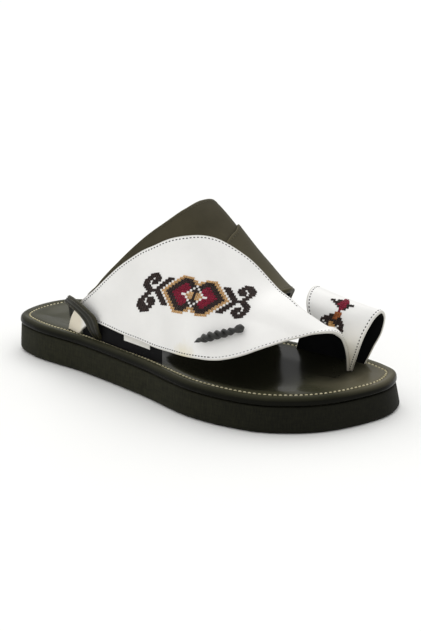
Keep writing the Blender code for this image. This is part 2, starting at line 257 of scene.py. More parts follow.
white_calf, tree, shader = new_material("white_calf_finished", 0.45, Specular_IOR_Level=0.3)
place = hide_surface(tree, shader, 1.2, 0.03, 18.0, 0.25)
axes = axes_of(tree, place)
white = drift(tree, place, 26.0, "#EBEAE7", "#F2F1EE")
white = fade(tree, axes["X"], *(x * MM for x in CREAM_TAIL_X), white, "#E6DDC9")
# Painted shade: darker and warmer low on the ring and the neck between the toes.
low = rise(tree, axes["Z"], *(z * MM for z in SHADE_TOE_Z))
fore = rise(tree, axes["X"], *(x * MM for x in SHADE_TOE_X))
white = fade(tree, reckon(tree, "MULTIPLY", low, fore), 0.0, 1.0, white, "#DCD5C2", 0.8)
white = edge_tint_and_sheen(tree, white, 1.1, 0.5, "#B9B5A8")
away = distance_to(tree, place, GLUE_TRACE)
ragged = reckon(tree, "MULTIPLY_ADD", noise(tree, place, 5.0), GLUE_RAGGED * MM, away)
white = fade(tree, ragged, *(reach * MM for reach in GLUE_REACH), white, "#DDCF9C", 0.5)
tree.links.new(white, shader.inputs["Base Color"])
print("made", white_calf.name)

# %% Black lining
# A thin napped textile, so dark that only the nap's edge-on sheen shows.
black_lining, tree, shader = new_material("black_napped_lining", 0.85, Specular_IOR_Level=0.12,
                                          Sheen_Weight=0.03)
place = hide_surface(tree, shader, 0.9, 0.04, 12.0, 0.1)
tree.links.new(drift(tree, place, 9.0, "#060607", "#0B0B0D"), shader.inputs["Base Color"])
print("made", black_lining.name)

# %% Olive leather
# Drum-dyed hide with a satin finish: dark olive that turns a little brown where it is stretched. It carries
# a painted highlight: paler towards the front and along its folded edges.
LIT_FRONT_X = (25.0, 70.0)

olive_hide, tree, shader = new_material("olive_satin_hide", 0.48, Specular_IOR_Level=0.08)
place = hide_surface(tree, shader, 1.3, 0.035, 22.0, 0.35)
olive = drift(tree, place, 30.0, "#3B3729", "#474232")
# Painted highlight: paler towards the front.
olive = fade(tree, axes_of(tree, place)["X"], *(x * MM for x in LIT_FRONT_X), olive, "#575241", 0.8)
tree.links.new(edge_tint_and_sheen(tree, olive, 1.6, 0.55, "#544D36"), shader.inputs["Base Color"])
print("made", olive_hide.name)

# %% Loop leather
# The keeper loop was folded from a darker piece of the same hide.
loop_hide, tree, shader = new_material("dark_olive_folded_hide", 0.40, Specular_IOR_Level=0.2)
place = hide_surface(tree, shader, 1.2, 0.04, 9.0, 0.15)
olive = drift(tree, place, 12.0, "#1B1B14", "#26251B")
# Painted highlight: the loop's edges turn paler along the folds.
tree.links.new(edge_tint_and_sheen(tree, olive, 1.2, 0.6, "#47432F"), shader.inputs["Base Color"])
print("made", loop_hide.name)

# %% Footbed leather
# The same olive, glazed: a smooth clear finish gives the near mirror that shows the dark linings above it.
# The side of the rolled rim is painted darker down to the seam, as painted shade. Under the upper the
# leather is painted near black as painted shade, and in front of the big toe the border is painted pale as a
# painted sheen.
SHADE_UNDER_UPPER_RUN = (14.0, 19.0)
SHADED_RIM_RUN = (8.0, 3.5)
SHEEN_SPOT_TOE = (128.0, 22.0, 22.0)
SHEEN_SPOT_REACH = (40.0, 10.0)

# Painted shade zones: x where it sets in, x where it fades out, y where it sets in.
SHADE_UNDER_UPPER = (
    ((-52.0, -30.0), (104.0, 84.0), (-60.0, -50.0)),
    ((56.0, 70.0), (122.0, 108.0), (-4.0, 15.0)),
)

glazed_hide, tree, shader = new_material("olive_glazed_hide", 0.18, Specular_IOR_Level=0.045)
place = hide_surface(tree, shader, 1.4, 0.02, 30.0, 0.2)
axes = axes_of(tree, place)
border = edge_distance(tree)
olive = drift(tree, place, 34.0, "#38382A", "#434232")
# Painted sheen: a pale patch on the border in front of the big toe.
away = distance_to(tree, place, SHEEN_SPOT_TOE)
olive = fade(tree, away, *(reach * MM for reach in SHEEN_SPOT_REACH), olive, "#6E6957", 0.95)
# Painted shade: near black on the footbed under the upper and under the toe ring.
inside = rise(tree, border, *SHADE_UNDER_UPPER_RUN)
for x_in, x_out, y_in in SHADE_UNDER_UPPER:
    shade_under_upper_mask = inside
    for axis, (low, high) in (("X", x_in), ("X", x_out), ("Y", y_in)):
        shade_under_upper_mask = reckon(tree, "MULTIPLY", shade_under_upper_mask, rise(tree, axes[axis], low * MM, high * MM))
    olive = fade(tree, shade_under_upper_mask, 0.0, 1.0, olive, "#14140E", 0.85)
# Painted shade: the rolled rim darkens from its top down to the seam.
olive = fade(tree, border, *SHADED_RIM_RUN, olive, "#11110C")
tree.links.new(olive, shader.inputs["Base Color"])
print("made", glazed_hide.name)

# %% Dark thong leather
# A strip of the same hide, twisted damp and left to dry almost black.
thong_hide, tree, shader = new_material("dark_twisted_hide", 0.30, Specular_IOR_Level=0.5)
place = hide_surface(tree, shader, 1.0, 0.06, 6.0, 0.1)
tree.links.new(drift(tree, place, 5.0, "#141412", "#22221E"), shader.inputs["Base Color"])
print("made", thong_hide.name)

# %% [markdown]
# ## Rubber
# The sole's side was trimmed and sanded, which leaves fine upright brush marks. Noise squeezed along x
# and y and left long in z draws them. Real marks are a tenth of a millimetre wide, too fine to show, so
# they are drawn at 0.7 mm. Towards the toe the rubber is painted blacker, as painted shade on the side
# that gets less light.

# %% Sole rubber
BRUSH_WIDTH = 0.7
WEFT_WIDTH = 0.9
WEFT_SHARE = 0.45
SHADED_TOE_X = (20.0, 110.0)
RIB_PITCH = 4.0
WAVE_UNIT = 20.0


def wave_scale(pitch_mm):
    """The scale at which a wave texture repeats once per pitch."""
    return 2 * math.pi / (WAVE_UNIT * pitch_mm * MM)


sole_rubber, tree, shader = new_material("olive_black_rubber_sanded", 0.62, Specular_IOR_Level=0.08)
place = own_place(tree)
upright = add(tree, "ShaderNodeMapping", {"Vector": place, "Scale": (1.0, 1.0, 0.09)}).outputs[0]
level = add(tree, "ShaderNodeMapping", {"Vector": place, "Scale": (0.12, 0.12, 1.0)}).outputs[0]
brush = noise(tree, upright, BRUSH_WIDTH, 3.0, 0.6)
weft = noise(tree, level, WEFT_WIDTH, 2.0)
both = reckon(tree, "MULTIPLY_ADD", weft, WEFT_SHARE, brush)
black = blend(tree, rise(tree, both, 0.5, 0.95), colour("#17170F"), colour("#2A2A1C"))
# Painted shade: the side turns blacker towards the toe.
black = fade(tree, axes_of(tree, place)["X"], *(x * MM for x in SHADED_TOE_X), black, "#0B0B09", 0.6)
tree.links.new(black, shader.inputs["Base Color"])
tree.links.new(bump(tree, both, 0.12, 0.8).outputs[0], shader.inputs["Normal"])

tread_rubber, tree, shader = new_material("olive_black_rubber_ribbed", 0.7, Specular_IOR_Level=0.1)
place = own_place(tree)
ribs = add(tree, "ShaderNodeTexWave", {"Vector": place, "Scale": wave_scale(RIB_PITCH), "Distortion": 0.6})
tree.links.new(bump(tree, ribs.outputs["Fac"], 0.8).outputs[0], shader.inputs["Normal"])
tree.links.new(drift(tree, place, 12.0, "#16160F", "#24231A"), shader.inputs["Base Color"])
print("made", sole_rubber.name, "and", tread_rubber.name)

# %% [markdown]
# ## Threads and tape
# The edge stitches are waxed thread, the ornament is stranded embroidery cotton, and the label is a
# plain woven tape. All three scatter light, so they are rough with a little sheen, and their colour
# changes slightly along the thread as the strands turn.

# %% Threads and tape
TAPE_PITCH = 0.9


def thread(name, low, high, roughness=0.65):
    material, tree, shader = new_material(name, roughness, Sheen_Weight=0.04, Specular_IOR_Level=0.2)
    place = hide_surface(tree, shader, 0.5, 0.06, 4.0, 0.05)
    tree.links.new(drift(tree, place, 1.6, low, high, 2.0), shader.inputs["Base Color"])
    return material


slate_thread = thread("slate_waxed_thread", "#17181B", "#2B2C2F", 0.5)
grey_thread = thread("grey_waxed_thread", "#5E5E5C", "#7A7A76", 0.5)
olive_thread = thread("olive_waxed_thread", "#2E2A1C", "#4B4530", 0.5)
straw_thread = thread("straw_waxed_thread", "#B9AF8A", "#D9D0AE", 0.5)
brown_cotton = thread("brown_embroidery_cotton", "#1F1715", "#352824")
crimson_cotton = thread("crimson_embroidery_cotton", "#6A0F26", "#8A1A35")
tan_cotton = thread("tan_embroidery_cotton", "#A97F4C", "#D2A870")
rust_cotton = thread("rust_embroidery_cotton", "#7C4526", "#A86236")

tape, tree, shader = new_material("off_white_woven_tape", 0.8, Sheen_Weight=0.2)
place = own_place(tree)
warp, woof = (add(tree, "ShaderNodeTexWave", {"Vector": place, "Scale": wave_scale(TAPE_PITCH)},
                  bands_direction=axis).outputs["Fac"] for axis in "XZ")
weave = reckon(tree, "MULTIPLY", warp, woof)
tree.links.new(bump(tree, weave, 0.1).outputs[0], shader.inputs["Normal"])
tree.links.new(drift(tree, place, 8.0, "#DCDAD2", "#E6E4DE"), shader.inputs["Base Color"])
print("threads and tape made")

# %% [markdown]
# ## Pieces from points
# Every piece is worked out as rows of points in millimetres. Two helpers turn them into meshes: one
# stacks closed rings, as for the sole, and one makes a sheet of leather with real thickness and soft,
# rounded edges. A sheet has three finishes: its face, its lining and its cut edge. It also notes how far
# each point is from the edge, which the leathers use for their edge colour: a greyer cut edge on the white
# and a painted highlight along the olive folds.

# %% Mesh helpers
def make_piece(name, points, faces, materials, face_slots, node, edge_mm=None):
    """One closed piece in the frame's place, riding on the shoe."""
    mesh = bpy.data.meshes.new(name)
    mesh.from_pydata((np.asarray(points) * MM).tolist(), [], faces)
    mesh.polygons.foreach_set("material_index", np.asarray(face_slots, np.int32))
    mesh.polygons.foreach_set("use_smooth", np.ones(len(faces), bool))
    for material in materials:
        mesh.materials.append(material)
    if edge_mm is not None:
        held = mesh.attributes.new("edge_mm", "FLOAT", "POINT")
        held.data.foreach_set("value", np.asarray(edge_mm, np.float32))
    shape = bmesh.new()
    shape.from_mesh(mesh)
    bmesh.ops.recalc_face_normals(shape, faces=shape.faces)
    if shape.calc_volume(signed=True) < 0:
        bmesh.ops.reverse_faces(shape, faces=shape.faces)
    shape.to_mesh(mesh)
    shape.free()
    piece = bpy.data.objects.new(name, mesh)
    bpy.context.scene.collection.objects.link(piece)
    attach(piece, "root")
    if node:
        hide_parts(node)
    print(name, len(mesh.polygons), "faces")
    return piece


def unit(vectors):
    return vectors / np.maximum(np.linalg.norm(vectors, axis=-1, keepdims=True), 1e-12)


def run_along(points):
    """Distance along a line of points, counted from its first."""
    return np.concatenate([[0.0], np.cumsum(np.linalg.norm(np.diff(points, axis=0), axis=1))])


def grid_normals(grid):
    return unit(np.cross(np.gradient(grid, axis=1), np.gradient(grid, axis=0)))


def stacked_rings(rings):
    """Points and faces of closed rings, bottom to top, capped at both ends."""
    count = len(rings[0])
    faces = [tuple(range(count))[::-1]]
    for level in range(len(rings) - 1):
        base = level * count
        for i in range(count):
            j = (i + 1) % count
            faces.append((base + i, base + j, base + count + j, base + count + i))
    top = (len(rings) - 1) * count
    faces.append(tuple(range(top, top + count)))
    return np.vstack(rings), faces


EDGE_ANGLES = (60, 30, 0, -30, -60)


def leather_sheet(middle, wall, soft, level_ends):
    """Points, faces, finish of each face and distance to the edge, of a sheet about a grid of points."""
    rows, columns = middle.shape[:2]
    normal = grid_normals(middle)
    if level_ends:
        normal[[0, -1], :, 2] = 0.0
        normal = unit(normal)
    half = np.broadcast_to(np.asarray(wall, float) / 2, (rows, columns))[..., None]
    outwards = np.zeros_like(middle)
    outwards[0] += unit(middle[0] - middle[1])
    outwards[-1] += unit(middle[-1] - middle[-2])
    outwards[:, 0] += unit(middle[:, 0] - middle[:, 1])
    outwards[:, -1] += unit(middle[:, -1] - middle[:, -2])
    outwards = unit(outwards)
    face = middle + normal * half - outwards * soft
    lining = middle - normal * half - outwards * soft
    rim = [(0, c) for c in range(columns)]
    rim += [(r, columns - 1) for r in range(1, rows)]
    rim += [(rows - 1, c) for c in range(columns - 2, -1, -1)]
    rim += [(r, 0) for r in range(rows - 2, 0, -1)]
    r, c = np.array(rim).T
    points = [face.reshape(-1, 3), lining.reshape(-1, 3)]
    for angle in np.radians(EDGE_ANGLES):
        points.append(middle[r, c] + normal[r, c] * half[r, c] * np.sin(angle)
                      + outwards[r, c] * soft * (np.cos(angle) - 1))
    total = rows * columns
    faces, slots = [], []
    for i in range(rows - 1):
        for j in range(columns - 1):
            a = i * columns + j
            quad = (a, a + 1, a + columns + 1, a + columns)
            faces += [quad, tuple(total + k for k in reversed(quad))]
            slots += [0, 1]
    count = len(rim)
    loops = [r * columns + c]
    loops += [2 * total + k * count + np.arange(count) for k in range(len(EDGE_ANGLES))]
    loops += [total + r * columns + c]
    for upper, lower in zip(loops, loops[1:]):
        for i in range(count):
            j = (i + 1) % count
            faces.append((int(upper[i]), int(upper[j]), int(lower[j]), int(lower[i])))
            slots.append(2)
    across = np.linalg.norm(np.diff(middle, axis=1), axis=2)
    run = np.concatenate([np.zeros((rows, 1)), np.cumsum(across, axis=1)], axis=1)
    edge = np.minimum(run, run[:, -1:] - run).ravel()
    edge_mm = np.concatenate([edge, edge, np.zeros(len(EDGE_ANGLES) * count)])
    return np.vstack(points), faces, slots, edge_mm


def make_sheet(name, middle, wall, soft, materials, node, level_ends=True):
    """A sheet of leather or cloth as a piece: materials for its face, its lining and its cut edge."""
    points, faces, slots, edge_mm = leather_sheet(middle, wall, soft, level_ends)
    return make_piece(name, points, faces, materials, slots, node, edge_mm)


print("helpers ready")

# %% [markdown]
# ## The sole's outline
# The plan of the sole is a short table of its outer and inner edge along the length. A smooth cubic
# runs through the marks, and its points are spread evenly round the edge, so that rings of them stack
# into clean quads.

# %% Outline
SOLE_LENGTH = 282.0
BALL_WIDTH = 110.0
HEEL_BLOCK = 20.0
TOE_BLOCK = 16.0
GAP = 0.3
OUTLINE_POINTS = 420

# Share of the length, then outer and inner edge as shares of the ball width.
SOLE_PLAN = (
    (0.025, -0.182, 0.273),
    (0.106, -0.273, 0.364),
    (0.287, -0.309, 0.345),
    (0.493, -0.395, 0.395),
    (0.681, -0.500, 0.473),
    (0.823, -0.455, 0.500),
    (0.894, -0.345, 0.486),
    (0.940, -0.218, 0.455),
    (0.979, -0.018, 0.400),
)
HEEL_TIP = (0.0, 0.041)
TOE_TIP = (1.0, 0.218)


def curve(at, stations, values):
    """Smooth cubic through the values that a table's column gives at its stations."""
    at, stations, values = (np.asarray(item, float) for item in (at, stations, values))
    slopes = np.gradient(values, stations, axis=0)
    k = np.clip(np.searchsorted(stations, at) - 1, 0, len(stations) - 2)
    step = stations[k + 1] - stations[k]
    t = (at - stations[k]) / step
    if values.ndim > 1:
        step, t = step[:, None], t[:, None]
    start = (1 + 2 * t) * (1 - t) ** 2 * values[k] + t * (1 - t) ** 2 * step * slopes[k]
    end = t * t * (3 - 2 * t) * values[k + 1] + t * t * (t - 1) * step * slopes[k + 1]
    return start + end


def ramp(value, low, high):
    """0 below low, 1 above high, with a smooth rise between."""
    t = np.clip((value - low) / (high - low), 0.0, 1.0)
    return t * t * (3 - 2 * t)


def plan_outline():
    outer = [(share, y) for share, y, _ in SOLE_PLAN]
    inner = [(share, y) for share, _, y in reversed(SOLE_PLAN)]
    marks = np.array([HEEL_TIP] + outer + [TOE_TIP] + inner) * (SOLE_LENGTH, BALL_WIDTH)
    wrapped = np.vstack([marks[-3:], marks, marks[:4]])
    along = np.concatenate([[0.0], np.cumsum(np.linalg.norm(np.diff(wrapped, axis=0), axis=1) ** 0.5)])
    fine = curve(np.linspace(along[3], along[-4], 4 * OUTLINE_POINTS, endpoint=False), along, wrapped)
    closed = np.vstack([fine, fine[:1]])
    run = run_along(closed)
    even = np.linspace(0.0, run[-1], OUTLINE_POINTS, endpoint=False)
    points = np.column_stack([np.interp(even, run, closed[:, k]) for k in (0, 1)])
    size = points.max(axis=0) - points.min(axis=0)
    return ((points - points.min(axis=0)) / size - 0.5) * (SOLE_LENGTH, BALL_WIDTH)


def inset(outline, distance):
    tangent = np.roll(outline, -1, axis=0) - np.roll(outline, 1, axis=0)
    normal = unit(np.column_stack([tangent[:, 1], -tangent[:, 0]]))
    return outline - normal * distance


def seam_height(x):
    return HEEL_BLOCK + (TOE_BLOCK - HEEL_BLOCK) * (x / SOLE_LENGTH + 0.5)


outline = plan_outline()
print("outline length, mm:", round(float(run_along(outline)[-1])))

# %% [markdown]
# ## Outsole
# A moulded rubber wedge, thicker under the heel, its toe flared slightly at the ground. Rings of the
# outline, moved in or out by a profile, make its wall with soft corners at the top and the bottom.

# %% Outsole
TOE_FLARE = 2.2
FLARE_X = (70.0, 140.0)

# Inset from the outline, share of the block's height.
BLOCK_PROFILE = (
    (3.0, 0.00), (1.6, 0.004), (0.6, 0.03), (0.0, 0.07), (-0.4, 0.11), (-0.6, 0.16), (-0.45, 0.30),
    (-0.2, 0.50), (0.1, 0.72), (0.33, 0.90), (0.45, 0.955), (0.8, 0.985), (1.4, 1.0), (2.6, 1.0),
)
top = seam_height(outline[:, 0]) - GAP / 2
flare = TOE_FLARE * ramp(outline[:, :1], *FLARE_X)
rings = [np.column_stack([inset(outline, distance - flare * (1 - share)), top * share])
         for distance, share in BLOCK_PROFILE]
points, faces = stacked_rings(rings)
slots = [1] + [0] * (len(faces) - 1)
make_piece("outsole_block", points, faces, (sole_rubber, tread_rubber), slots, "outsole")

# %% [markdown]
# ## Footbed
# Leather wrapped over a board: a rolled rim, a stitch groove, a flat border, and a shallow dish for the
# foot. A smooth curve through a few profile marks rounds the rim, and rings shrinking towards a spine
# from heel to toe fill the dish.

# %% Footbed
# Inset from the outline, height over the seam.
RIM_PROFILE = (
    (1.0, 0.0), (0.1, 0.9), (0.0, 3.2), (0.7, 5.0), (2.4, 6.0), (4.3, 5.7), (5.8, 5.0),
    (6.5, 4.5), (7.2, 5.2), (8.0, 5.4), (12.0, 5.35), (17.0, 4.7),
)
RIM_STEPS = 5

# Share of the way out from the spine, height over the seam.
DISH_PROFILE = (
    (0.93, 4.4), (0.85, 4.0), (0.76, 3.6), (0.64, 3.25), (0.5, 3.0), (0.36, 2.88), (0.22, 2.8), (0.1, 2.77),
)
DISH_RUN = 30.0
SPINE_X = (-95.0, 85.0)

marks = np.array(RIM_PROFILE)
run = run_along(marks)
steps = [np.linspace(a, b, RIM_STEPS, endpoint=False) for a, b in zip(run, run[1:])]
places = np.concatenate(steps + [run[-1:]])
rings = []
for distance, height in curve(places, run, marks):
    edge = inset(outline, distance)
    rings.append(np.column_stack([edge, seam_height(edge[:, 0]) + GAP / 2 + height]))
plan = np.array(SOLE_PLAN) * (SOLE_LENGTH, BALL_WIDTH, BALL_WIDTH)
edge = inset(outline, RIM_PROFILE[-1][0])
spine_x = np.clip(edge[:, 0], *SPINE_X)
spine_y = np.interp(spine_x, plan[:, 0] - SOLE_LENGTH / 2, plan[:, 1:].mean(axis=1))
spine = np.column_stack([spine_x, spine_y])
for share, height in DISH_PROFILE:
    ring = spine + (edge - spine) * share
    rings.append(np.column_stack([ring, seam_height(ring[:, 0]) + GAP / 2 + height]))
points, faces = stacked_rings(rings)
rim_run = np.concatenate([places, places[-1] + DISH_RUN * (1 - np.array(DISH_PROFILE)[:, 0])])
make_piece("footbed_leather", points, faces, (glazed_hide,), [0] * len(faces), "footbed",
           np.repeat(rim_run, len(outline)))

# %% [markdown]
# ## The last
# The straps were shaped over a last, a wooden foot. A table of sections gives its two base edges and its
# crest, and a superellipse arches over them, so any point of the upper is found from its x and its share
# of the girth, from 0 at the outer base over the crest to 1 at the inner base.

# %% Last
INSTEP_HEIGHT = 96.0
RIM_HEIGHT = 6.0
BORDER_DROP = 0.6

# x, outer and inner base, crest's y, crest height as a share of the instep.
LAST = (
    (-120.0, -19.0, 28.0, 4.0, 1.083),
    (-60.0, -25.5, 28.0, 6.0, 1.083),
    (-20.0, -32.0, 31.5, 9.0, 1.083),
    (5.0, -35.5, 33.5, 11.0, 1.030),
    (45.0, -44.5, 40.0, 12.0, 0.655),
    (66.0, -45.0, 42.5, 10.0, 0.475),
    (86.0, -42.0, 44.5, 11.0, 0.420),
    (100.0, -36.0, 44.5, 14.0, 0.365),
    (118.0, -24.0, 42.0, 20.0, 0.290),
)
FULLNESS_OUTER = 2.3
FULLNESS_INNER = 2.4


def bed_height(x):
    return seam_height(x) + RIM_HEIGHT - BORDER_DROP + 1.5 * GAP


def last_surface(x, girth):
    table = np.array(LAST)
    outer, inner, crest, share = (curve(x, table[:, 0], table[:, k]) for k in (1, 2, 3, 4))
    across = np.cos(np.pi * girth)
    fullness = np.where(across > 0, FULLNESS_OUTER, FULLNESS_INNER)
    half = np.where(across > 0, crest - outer, inner - crest)
    y = crest - np.sign(across) * half * np.abs(across) ** (2 / fullness)
    z = bed_height(x) + INSTEP_HEIGHT * share * np.abs(np.sin(np.pi * girth)) ** (2 / fullness)
    return np.stack([x, y, z], axis=-1)


def last_point(x, girth, offset):
    """Points standing a distance off the last, outwards."""
    x, girth = np.broadcast_arrays(np.asarray(x, float), np.asarray(girth, float))
    along = last_surface(x + 0.05, girth) - last_surface(x - 0.05, girth)
    up = last_surface(x, np.clip(girth + 1e-4, 0, 1)) - last_surface(x, np.clip(girth - 1e-4, 0, 1))
    return last_surface(x, girth) + unit(np.cross(along, up)) * np.asarray(offset)[..., None]


print("crest of the instep, mm:", round(float(last_surface(np.array([0.0]), np.array([0.5]))[0, 2]), 1))

# %% [markdown]
# ## Instep strap and its overlay
# One wide olive band arches over the instep from side to side, and a second layer is sewn over its front
# half. Both are sheets on the last, the overlay standing on the band's outer face.

# %% Instep strap
OLIVE_WALL = 2.0
OLIVE_SOFT = 0.6
OVERLAY_STEP = 1.6
STRAP_ROWS = 150
STRAP_COLUMNS = 46
BASE_CROWDING = 0.45

# Share of the girth from outer to inner base, x of the rear edge, overlay's edge, front edge.
STRAP = (
    (0.00, -43.0, -6.0, 6.0),
    (0.03, -47.0, -4.0, 8.0),
    (0.06, -62.0, 0.0, 12.0),
    (0.10, -51.0, 6.0, 18.0),
    (0.17, -29.5, 14.0, 30.0),
    (0.23, -14.5, 22.0, 42.0),
    (0.30, -0.5, 30.0, 54.0),
    (0.38, 7.0, 35.5, 64.0),
    (0.47, 9.5, 32.0, 69.0),
    (0.56, 10.0, 27.5, 69.5),
    (0.66, 5.0, 22.0, 66.0),
    (0.78, -10.0, 17.0, 59.0),
    (0.90, -26.0, 11.0, 52.0),
    (1.00, -36.0, 7.0, 46.0),
)

table = np.array(STRAP)
share = np.linspace(0.0, 1.0, STRAP_ROWS)
girth = share - BASE_CROWDING * np.sin(2 * np.pi * share) / (2 * np.pi)
rear, overlay, front = (curve(girth, table[:, 0], table[:, k])[:, None] for k in (1, 2, 3))
across = np.linspace(0.0, 1.0, STRAP_COLUMNS)[None, :]
strap_middle = last_point(rear + (front - rear) * across, girth[:, None], np.array(OLIVE_WALL / 2))
make_sheet("instep_strap_leather", strap_middle, OLIVE_WALL, OLIVE_SOFT,
           (olive_hide, black_lining, olive_hide), "instep_strap")

# %% Shade flap
# A black sheet just outside the strap's outer base, under the leaf from the loop to the label: painted
# shade, a dark sheet put where the shade under the leaf falls.
SHADE_FLAP_X = (-66.0, 15.0)
SHADE_FLAP_GIRTH = 0.034
SHADE_FLAP_WALL = 0.3
SHADE_FLAP_ROWS = 80
SHADE_FLAP_COLUMNS = 12
THIN_SOFT = 0.1

x = np.linspace(*SHADE_FLAP_X, SHADE_FLAP_ROWS)[:, None]
girth_up = np.linspace(0.0, SHADE_FLAP_GIRTH, SHADE_FLAP_COLUMNS)[None, :]
shade_flap_middle = last_point(x, girth_up, np.array(OLIVE_WALL + SHADE_FLAP_WALL / 2))
make_sheet("lining_flap", shade_flap_middle, SHADE_FLAP_WALL, THIN_SOFT, (black_lining,) * 3, None,
           level_ends=False)

# %% Strap overlay
# The overlay thins out where it dives under the leaf.
OVERLAY_FADE = (0.36, 0.41)
OVERLAY_TUCK = 0.02
OVERLAY_THINNEST = 0.12
OVERLAY_OVERHANG = 0.3
OVERLAY_SEAT = 0.02
OVERLAY_SOFT = 0.5
OVERLAY_COLUMNS = 30

kept = girth > OVERLAY_FADE[0] - OVERLAY_TUCK
across = np.linspace(0.0, 1.0, OVERLAY_COLUMNS)[None, :]
x = (overlay + (front + OVERLAY_OVERHANG - overlay) * across)[kept]
thinned = np.clip(ramp(girth[kept, None], *OVERLAY_FADE), OVERLAY_THINNEST, 1.0)
raised = OVERLAY_STEP * thinned * np.ones_like(x)
overlay_middle = last_point(x, girth[kept, None], OLIVE_WALL + OVERLAY_SEAT + raised / 2)
make_sheet("instep_overlay_leather", overlay_middle, raised, OVERLAY_SOFT, (olive_hide,) * 3,
           None)

# %% [markdown]
# ## White leaf
# The leaf is one piece of white leather. Its tail tucks under the keeper loop by the heel, it widens over
# the outer side and narrows to a neck that goes down between the first two toes. Two edge tables, on the
# last and then in free space for the neck, carry straight rows of points between them.

# %% White leaf
LAYER_GAP = 0.45
WHITE_WALL = 1.8
WHITE_SOFT = 0.5
LEAF_ROWS = 190
NECK_ROWS = 46
LEAF_COLUMNS = 46
LEAF_LIFT_GIRTH = (0.28, 0.35)
LEAF_LIFT_X = (2.0, 22.0)
TAIL_X = (-84.0, -62.0)

# Tail to toes: x and girth share of the lower edge, then of the upper edge.
LEAF = (
    (-68.0, 0.000, -82.0, 0.000),
    (-62.0, 0.012, -77.0, 0.025),
    (-54.0, 0.024, -66.0, 0.057),
    (-45.0, 0.027, -48.5, 0.097),
    (-25.0, 0.024, -27.0, 0.157),
    (-8.0, 0.023, -11.0, 0.203),
    (10.5, 0.023, 3.0, 0.245),
    (28.0, 0.033, 18.0, 0.320),
    (44.0, 0.048, 32.0, 0.415),
    (58.0, 0.069, 46.0, 0.469),
    (70.0, 0.101, 62.0, 0.490),
    (80.5, 0.140, 77.0, 0.474),
    (90.0, 0.197, 91.0, 0.437),
    (99.0, 0.267, 102.0, 0.417),
    (106.0, 0.325, 109.0, 0.403),
)
# Neck between the first two toes: lower edge x, y, height over the footbed, then the upper edge.
NECK = (
    (115.4, -4.0, 32.7, 114.2, 2.8, 33.4),
    (117.3, 3.0, 29.8, 113.8, 8.2, 29.6),
    (116.8, 8.5, 25.2, 113.2, 13.4, 24.9),
    (115.8, 13.5, 19.6, 112.5, 17.9, 19.3),
    (114.2, 19.0, 11.6, 111.4, 22.6, 11.4),
    (110.9, 26.0, -0.8, 109.1, 28.4, -0.8),
)


def leaf_stand(x, girth):
    """How far the leaf's inner face stands off the last: over the strap, and over its overlay."""
    lift = OVERLAY_STEP * ramp(girth, *LEAF_LIFT_GIRTH) * ramp(x, *LEAF_LIFT_X)
    return (OLIVE_WALL + LAYER_GAP) * ramp(x, *TAIL_X) + lift


def leaf_rows(positions):
    edges = np.array(LEAF)
    low_x, low_girth, high_x, high_girth = (
        curve(positions, np.arange(len(edges)), edges[:, k])[:, None] for k in range(4)
    )
    share = np.linspace(0.0, 1.0, LEAF_COLUMNS)[None, :]
    x = low_x + (high_x - low_x) * share
    girth = np.clip(low_girth + (high_girth - low_girth) * share, 0.0, 1.0)
    return last_point(x, girth, leaf_stand(x, girth) + WHITE_WALL / 2)


end = len(LEAF) - 1
share = np.linspace(0.0, 1.0, LEAF_COLUMNS)[None, :, None]
neck = np.array(NECK)[:, None, :]
neck = neck[..., :3] * (1 - share) + neck[..., 3:] * share
neck[:, :, 2] += bed_height(neck[:, :, 0])
marks = np.concatenate([leaf_rows(np.array([end - 1.0, end])), neck])
places = np.linspace(1.0, len(marks) - 1.0, NECK_ROWS + 1)[1:]
neck = curve(places, np.arange(len(marks)), marks.reshape(len(marks), -1))
neck = neck.reshape(NECK_ROWS, LEAF_COLUMNS, 3)
leaf_middle = np.concatenate([leaf_rows(np.linspace(0.0, end, LEAF_ROWS)), neck])[:, ::-1]
white_finish = (white_calf, black_lining, white_calf)
make_sheet("white_leaf", leaf_middle, WHITE_WALL, WHITE_SOFT, white_finish,
           "leaf_and_toe_ring")

# %% [markdown]
# ## Toe ring
# A wide white band closes round the big toe. It starts in the cleft behind the leaf's neck, rises over
# the toe and comes down on the inner side of the footbed.

# %% Toe ring
RING_ROWS = 130
RING_COLUMNS = 30

# Cleft to inner base: rear edge x, y, height over the footbed, then the front edge.
RING = (
    (109.4, 27.8, -0.8, 112.8, 27.8, -0.8),
    (112.1, 21.9, 11.3, 118.9, 22.8, 11.6),
    (111.2, 16.8, 21.9, 123.0, 20.5, 21.3),
    (89.0, 15.8, 30.8, 125.5, 22.5, 29.5),
    (84.5, 17.0, 41.0, 127.8, 27.0, 36.6),
    (82.0, 24.5, 46.5, 129.0, 33.0, 39.3),
    (80.5, 34.0, 46.5, 127.8, 39.5, 35.0),
    (78.0, 41.0, 36.4, 124.0, 44.0, 24.0),
    (67.0, 43.0, 18.3, 118.0, 44.5, 11.5),
    (60.5, 43.0, -1.2, 112.5, 43.6, -1.2),
)


def band_run(table):
    """Distance along the middle of a band, at each row of its table."""
    marks = np.array(table)
    return run_along((marks[:, :3] + marks[:, 3:]) / 2)


def band_point(table, along, across):
    """A point of a band between its two edges: along in mm from its first end, across from 0 to 1."""
    along, across = np.broadcast_arrays(np.asarray(along, float), np.asarray(across, float))
    fine = curve(along.ravel(), band_run(table), np.array(table)).reshape(*along.shape, 6)
    point = fine[..., :3] * (1 - across[..., None]) + fine[..., 3:] * across[..., None]
    point[..., 2] += bed_height(point[..., 0])
    return point


def band(table, rows, columns):
    along = np.linspace(0.0, band_run(table)[-1], rows)[:, None]
    return band_point(table, along, np.linspace(0.0, 1.0, columns)[None, :])


ring_middle = band(RING, RING_ROWS, RING_COLUMNS)
make_sheet("white_toe_ring", ring_middle, WHITE_WALL, WHITE_SOFT, white_finish, None)

